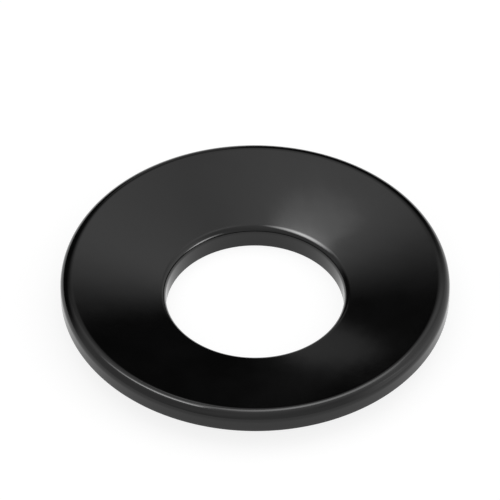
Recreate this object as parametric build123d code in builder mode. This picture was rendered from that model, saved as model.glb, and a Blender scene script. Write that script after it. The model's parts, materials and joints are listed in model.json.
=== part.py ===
from build123d import *
import math
import os

# A belleville washer for an M10 screw: one ring of spring steel, pressed to a shallow cone.
# Lengths are in millimetres.
#
# It lies as a dish, concave side up, on the lower edge of its hole. The origin is the centre
# of the hole, in the plane that the washer lies on, and +Z is its axis.

# Driving dimensions
outer_diameter = 23.0
hole_diameter = 10.56
thickness = 1.4  # between the two conical faces, square to them
cone_height = 1.45  # that each face climbs from the hole to the rim
rim_round = 0.6  # radius of the rim's upper edge
hole_round = 0.5  # radius of the hole's upper edge
edge_break = 0.06  # radius that takes the sharpness off both lower edges

# Sizes that follow from them
outer_radius = outer_diameter / 2
hole_radius = hole_diameter / 2
slope = cone_height / (outer_radius - hole_radius)
steepness = math.hypot(1, slope)  # length along a face for each unit of radius
wall_height = thickness * steepness  # of the hole's wall and the rim's, before their edges are rounded
sharp_depth = edge_break * (slope + steepness - 1)  # of the unrounded lower corner, under the rest plane

with BuildPart() as washer:
    # The section: two parallel sloping faces between two walls that are parallel to the axis
    with BuildSketch(Plane.XZ) as section:
        with BuildLine():
            Polyline(
                (hole_radius, -sharp_depth),
                (outer_radius, cone_height - sharp_depth),
                (outer_radius, cone_height + wall_height - sharp_depth),
                (hole_radius, wall_height - sharp_depth),
                close=True,
            )
        make_face()
        fillet(section.vertices().group_by(Axis.X)[-1].sort_by(Axis.Y)[-1], rim_round)
        fillet(section.vertices().group_by(Axis.X)[-1].sort_by(Axis.Y)[0], edge_break)
        fillet(section.vertices().group_by(Axis.X)[0].sort_by(Axis.Y)[-1], hole_round)
        fillet(section.vertices().group_by(Axis.X)[0].sort_by(Axis.Y)[0], edge_break)
    revolve(axis=Axis.Z)

washer.part.label = "washer"

os.makedirs("parts", exist_ok=True)
export_step(washer.part, "parts/washer.step")
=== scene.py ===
"""A black belleville washer that lies as a dish on a white table. Lengths are in metres."""
import json
import math

import bpy
from mathutils import Euler, Matrix, Quaternion, Vector


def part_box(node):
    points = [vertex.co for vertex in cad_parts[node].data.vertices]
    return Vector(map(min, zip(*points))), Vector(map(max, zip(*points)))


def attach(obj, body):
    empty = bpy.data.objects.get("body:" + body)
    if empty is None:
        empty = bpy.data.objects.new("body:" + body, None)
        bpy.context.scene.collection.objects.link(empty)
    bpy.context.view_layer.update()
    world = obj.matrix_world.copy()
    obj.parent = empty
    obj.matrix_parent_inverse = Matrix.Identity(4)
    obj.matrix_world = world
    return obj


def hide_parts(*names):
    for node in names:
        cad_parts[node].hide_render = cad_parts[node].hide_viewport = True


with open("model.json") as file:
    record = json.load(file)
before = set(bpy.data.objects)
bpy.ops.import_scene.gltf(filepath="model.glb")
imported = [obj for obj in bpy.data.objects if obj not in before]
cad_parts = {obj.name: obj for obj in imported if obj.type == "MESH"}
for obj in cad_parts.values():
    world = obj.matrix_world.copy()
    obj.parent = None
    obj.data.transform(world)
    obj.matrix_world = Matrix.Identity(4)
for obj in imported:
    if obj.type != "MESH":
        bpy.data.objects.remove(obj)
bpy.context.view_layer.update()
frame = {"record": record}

MM = 0.001

# The washer's section. The hole's radius is that of the mount in the frame's record.
lowest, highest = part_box("washer")
bore = next(m for m in frame["record"]["mounts"] if m["name"] == "bore")
outer_radius = 11.5 * MM
hole_radius = bore["dims"]["r_mm"] * MM
thickness = 1.4 * MM  # square to the faces
cone_height = 1.45 * MM  # of each face, from the hole to the rim
rim_round = 0.6 * MM
hole_round = 0.5 * MM
edge_break = 0.06 * MM
turned_steps = 360

# The table
table_side = 8
table_colour = (0.25, 0.25, 0.25, 1)
table_glow = 0.82  # with what it scatters, this comes to about white

# The black finish
black = (0.001, 0.001, 0.001, 1)
rubbed_black = (0.02, 0.02, 0.021, 1)
coating_ior = 1.45
ripple_size, ripple_height = 1.3 * MM, 0.003 * MM
grain_size, grain_height = 0.13 * MM, 0.0004 * MM
mottle_size = 3.2 * MM
rub_start, rub_end = 0.04 * MM, 0.2 * MM  # distances from a sharp edge


def rounded_corner(corner, before, after, radius, steps):
    """Points and outward normals of the arc that rounds a corner between two straight sides."""
    to_before = (before - corner).normalized()
    to_after = (after - corner).normalized()
    half = to_before.angle(to_after) / 2
    centre = corner + (to_before + to_after).normalized() * (radius / math.sin(half))
    touch = radius / math.tan(half)
    start = (corner + to_before * touch - centre).normalized()
    turn = (corner + to_after * touch - centre).angle_signed(start)
    arc = []
    for i in range(steps + 1):
        angle = math.atan2(start.y, start.x) + turn * i / steps
        normal = Vector((math.cos(angle), math.sin(angle)))
        arc.append((centre + normal * radius, normal))
    return arc


def section():
    """Points and normals round the section, in the plane of radius and height."""
    slope = cone_height / (outer_radius - hole_radius)
    steepness = math.hypot(1, slope)
    wall = thickness * steepness
    sunk = edge_break * (slope + steepness - 1)
    corners = [
        (Vector((hole_radius, -sunk)), edge_break, 6),
        (Vector((outer_radius, cone_height - sunk)), edge_break, 6),
        (Vector((outer_radius, cone_height + wall - sunk)), rim_round, 24),
        (Vector((hole_radius, wall - sunk)), hole_round, 18),
    ]
    loop = []
    for i, (corner, radius, steps) in enumerate(corners):
        before = corners[i - 1][0]
        after = corners[(i + 1) % len(corners)][0]
        loop += rounded_corner(corner, before, after, radius, steps)
    return loop


def lathe(name, loop, segments):
    """A closed ring: the section's loop turned about the Z axis, with exact normals."""
    points = []
    normals = []
    for i in range(segments):
        angle = 2 * math.pi * i / segments
        c, s = math.cos(angle), math.sin(angle)
        for point, normal in loop:
            points.append((point.x * c, point.x * s, point.y))
            normals.append((normal.x * c, normal.x * s, normal.y))
    count = len(loop)
    faces = []
    for i in range(segments):
        here, there = i * count, (i + 1) % segments * count
        for j in range(count):
            k = (j + 1) % count
            faces.append((here + j, there + j, there + k, here + k))
    mesh = bpy.data.meshes.new(name)
    mesh.from_pydata(points, [], faces)
    mesh.validate()
    for face in mesh.polygons:
        face.use_smooth = True
    mesh.normals_split_custom_set_from_vertices(normals)
    ring = bpy.data.objects.new(name, mesh)
    bpy.context.scene.collection.objects.link(ring)
    return ring


class Graph:
    """The nodes of a material or a world, with short ways to add to them."""

    def __init__(self, owner):
        owner.use_nodes = True
        self.nodes, self.links = owner.node_tree.nodes, owner.node_tree.links

    def node(self, kind, **settings):
        node = self.nodes.new("ShaderNode" + kind)
        for name, value in settings.items():
            setattr(node, name, value)
        return node

    def feed(self, socket, value):
        """Links an output to a socket, or sets the socket to a plain value."""
        if isinstance(value, bpy.types.NodeSocket):
            self.links.new(value, socket)
        else:
            socket.default_value = value

    def maths(self, operation, one, two):
        node = self.node("Math", operation=operation)
        self.feed(node.inputs[0], one)
        self.feed(node.inputs[1], two)
        return node.outputs[0]

    def vector(self, operation, one, two, output):
        node = self.node("VectorMath", operation=operation)
        self.feed(node.inputs[0], one)
        self.feed(node.inputs[1], two)
        return node.outputs[output]

    def ramp(self, value, start, end, low, high):
        """Goes smoothly from low to high as the value goes from start to end."""
        node = self.node("MapRange", interpolation_type="SMOOTHSTEP")
        for socket, number in zip(node.inputs[:5], (value, start, end, low, high)):
            self.feed(socket, number)
        return node.outputs[0]

    def noise(self, where, size, detail):
        """Noise whose largest blotches are about this size, in metres."""
        node = self.node("TexNoise")
        node.inputs["Scale"].default_value = 1 / size
        node.inputs["Detail"].default_value = detail
        self.feed(node.inputs["Vector"], where)
        return node.outputs["Fac"]

    def bump(self, height, distance, normal=None):
        node = self.node("Bump")
        node.inputs["Distance"].default_value = distance
        self.feed(node.inputs["Height"], height)
        if normal is not None:
            self.feed(node.inputs["Normal"], normal)
        return node.outputs[0]


def black_steel():
    """Gloss black on tumbled steel, with faint ripples and grain, and its sharp edges rubbed."""
    material = bpy.data.materials.new("black_steel")
    graph = Graph(material)
    shader = graph.nodes["Principled BSDF"]
    where = graph.node("TexCoord").outputs["Object"]
    ripples = graph.noise(where, ripple_size, detail=1)
    grain = graph.noise(where, grain_size, detail=3)
    mottle = graph.noise(where, mottle_size, detail=5)

    # How near a point is to the two lower edges, which are sharper and rub first
    radius = graph.vector("MULTIPLY", where, (1, 1, 0), "Vector")
    radius = graph.vector("LENGTH", radius, (0, 0, 0), "Value")
    split = graph.node("SeparateXYZ")
    graph.feed(split.inputs[0], where)
    profile = graph.node("CombineXYZ")
    graph.feed(profile.inputs["X"], radius)
    graph.feed(profile.inputs["Z"], split.outputs["Z"])
    profile = profile.outputs[0]
    hole_edge = graph.vector("DISTANCE", profile, (hole_radius, 0, 0), "Value")
    rim_edge = graph.vector("DISTANCE", profile, (outer_radius, 0, cone_height), "Value")
    nearest = graph.maths("MINIMUM", hole_edge, rim_edge)
    patchy = graph.ramp(mottle, 0.35, 0.65, 0.4, 1.0)
    rubbed = graph.ramp(nearest, rub_start, rub_end, 1.0, 0.0)
    rubbed = graph.maths("MULTIPLY", rubbed, patchy)

    colour = graph.node("Mix", data_type="RGBA")
    pale = graph.maths("MULTIPLY", rubbed, 0.9)
    pale = graph.maths("ADD", pale, graph.ramp(mottle, 0.3, 0.7, 0.0, 0.06))
    graph.feed(colour.inputs["Factor"], pale)
    colour.inputs["A"].default_value = black
    colour.inputs["B"].default_value = rubbed_black
    graph.feed(shader.inputs["Base Color"], colour.outputs["Result"])

    roughness = graph.ramp(mottle, 0.3, 0.7, 0.095, 0.125)
    roughness = graph.maths("ADD", roughness, graph.maths("MULTIPLY", rubbed, 0.1))
    roughness = graph.maths("ADD", roughness, graph.ramp(grain, 0.3, 0.7, 0.0, 0.02))
    graph.feed(shader.inputs["Roughness"], roughness)
    shader.inputs["IOR"].default_value = coating_ior
    normal = graph.bump(ripples, ripple_height)
    normal = graph.bump(grain, grain_height, normal)
    graph.feed(shader.inputs["Normal"], normal)
    return material


washer = lathe("washer_finish", section(), turned_steps)
washer.data.materials.append(black_steel())
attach(washer, "root")
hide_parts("washer")


def table_material():
    """A dull grey that glows white wherever the camera, gloss or glass sees it."""
    material = bpy.data.materials.new("white_table")
    table = Graph(material)
    table.nodes.remove(table.nodes["Principled BSDF"])
    diffuse = table.node("BsdfDiffuse")
    diffuse.inputs["Color"].default_value = table_colour
    path = table.node("LightPath").outputs
    seen = table.maths("MAXIMUM", path["Is Camera Ray"], path["Is Glossy Ray"])
    seen = table.maths("MAXIMUM", seen, path["Is Transmission Ray"])
    glow = table.node("Emission")
    table.feed(glow.inputs["Strength"], table.maths("MULTIPLY", seen, table_glow))
    both = table.node("AddShader")
    table.feed(both.inputs[0], diffuse.outputs[0])
    table.feed(both.inputs[1], glow.outputs[0])
    table.feed(table.nodes["Material Output"].inputs["Surface"], both.outputs[0])
    return material


def table():
    """A square table top, at the height that the washer lies on."""
    half = table_side / 2
    mesh = bpy.data.meshes.new("floor")
    corners = [(-half, -half, 0), (half, -half, 0), (half, half, 0), (-half, half, 0)]
    mesh.from_pydata(corners, [], [(0, 1, 2, 3)])
    mesh.materials.append(table_material())
    floor = bpy.data.objects.new("floor", mesh)
    bpy.context.scene.collection.objects.link(floor)


table()


# Light. Scratch programs fitted the numbers of the world's regions, and most of those of the
# highlights, to the brightness of the photograph's reflections. They are rounded here.


def direction(azimuth, elevation):
    """The unit vector at an azimuth, from +Y towards +X, and a height above the floor."""
    a, e = math.radians(azimuth), math.radians(elevation)
    return Vector((math.sin(a) * math.cos(e), math.cos(a) * math.cos(e), math.sin(e)))


def studio_world():
    """A pale tent with softer and brighter sides, and a soft-edged dark card behind the washer."""
    world = bpy.data.worlds.new("studio")
    sky = Graph(world)
    where = sky.node("TexCoord").outputs["Generated"]

    def region(towards, start, end, low, high):
        """The sky as seen round a direction: low to high as the cosine to it rises."""
        cosine = sky.vector("DOT_PRODUCT", where, towards, "Value")
        return sky.ramp(cosine, start, end, low, high)

    tent = region(direction(58, 4), 0.25, 0.72, 0.12, 0.85)  # right
    for part in (
        region(direction(-14, 72), 0.67, 1.16, 0.0, 0.72),  # above
        region(direction(-63, 39), -0.13, 0.5, 0.0, 0.57),  # left
        region(direction(140, -6), -0.085, 0.82, 0.0, 0.61),  # front right
    ):
        tent = sky.maths("ADD", tent, part)
    above = region(direction(169, 38), -0.286, 0.064, 1.0, 0.0)
    right = region(direction(125, 0), -0.25, 0.25, 1.0, 0.0)
    left = region(direction(-160, 0), -0.25, 0.25, 1.0, 0.0)
    card = sky.maths("MULTIPLY", sky.maths("MULTIPLY", above, right), left)
    open_sky = sky.maths("SUBTRACT", 1.0, card)
    dimmed = region(direction(15, 37), 0.82, 0.868, 1.0, 0.71)
    light = sky.maths("MULTIPLY", sky.maths("MULTIPLY", tent, open_sky), dimmed)
    light = sky.maths("ADD", light, 0.02)
    sky.feed(sky.nodes["Background"].inputs["Strength"], light)
    sky.nodes["Background"].inputs["Color"].default_value = (1, 1, 1, 1)
    bpy.context.scene.world = world


def highlight(name, place, aim, turn, width, depth, radiance, spread=180):
    """A small panel that only gloss shows, in millimetres and degrees.

    Its grid narrows its light to the spread, and the radiance is what it shows straight on.
    """
    place, aim = Vector(place) * MM, Vector(aim) * MM
    width, depth = width * MM, depth * MM
    half = math.radians(spread) / 2
    gain = 1 if spread == 180 else math.tan(half) / (math.tan(half) - half)
    data = bpy.data.lights.new(name, "AREA")
    data.shape = "RECTANGLE"
    data.size = width
    data.size_y = depth
    data.spread = 2 * half
    data.energy = radiance * math.pi * width * depth / gain
    ahead = (aim - place).normalized()
    side = Vector((0, 0, 1)).cross(ahead).normalized()
    side.rotate(Quaternion(ahead, math.radians(turn)))
    panel = bpy.data.objects.new(name, data)
    panel.matrix_world = Matrix.LocRotScale(
        place, Matrix((side, side.cross(ahead), -ahead)).transposed(), None
    )
    panel.visible_camera = False
    panel.visible_diffuse = False
    bpy.context.scene.collection.objects.link(panel)


studio_world()
highlight(
    "key", place=(-11.7, 1.8, 28), aim=(2.5, 4.5, 1.3), turn=52,
    width=21.5, depth=22.7, radiance=17.2, spread=49,
)
highlight(
    "hole_glow", place=(-4.6, 9.6, 20), aim=(2.5, 4.5, 1.3), turn=21,
    width=10.4, depth=8.4, radiance=5.7, spread=34,
)
highlight(
    "front_rim", place=(6.5, 0.85, 35), aim=(3, -10, 2.5), turn=-49,
    width=31.7, depth=12.8, radiance=4.4, spread=45,
)
highlight(
    "hole_edge", place=(15.5, -5, 5.9), aim=(-2.8, 4.4, 1.5), turn=28,
    width=31, depth=4.6, radiance=10, spread=56,
)
highlight(
    "right_glow", place=(-8.4, 41.6, 13.2), aim=(5, -5, 2), turn=9,
    width=14, depth=25, radiance=0.38,
)
highlight(
    "back_glow", place=(-6.3, 24.2, 45), aim=(4, 6, 2), turn=85,
    width=9, depth=5, radiance=1.1,
)

# Camera, which looks down on the washer from the front
sight = math.radians(45)  # below the horizontal
camera_distance = 0.46
lean = math.radians(0.215)
look_up, look_left = math.radians(0.3124), math.radians(0.0373)
camera_data = bpy.data.cameras.new("camera")
camera_data.lens = 560
camera_data.sensor_width = 36
camera_data.clip_start = 0.01
camera_data.clip_end = 10
camera = bpy.data.objects.new("camera", camera_data)
middle = Vector((0, 0, (lowest.z + highest.z) / 2))
back = Vector((0, -math.cos(sight), math.sin(sight)))
camera.location = middle + back * camera_distance
facing = (-back).to_track_quat("-Z", "Y")
roll = Euler((0, 0, lean)).to_quaternion()
aside = Euler((look_up, look_left, 0)).to_quaternion()
camera.rotation_mode = "QUATERNION"
camera.rotation_quaternion = facing @ roll @ aside

scene = bpy.context.scene
scene.collection.objects.link(camera)
scene.camera = camera
scene.view_settings.view_transform = "Standard"
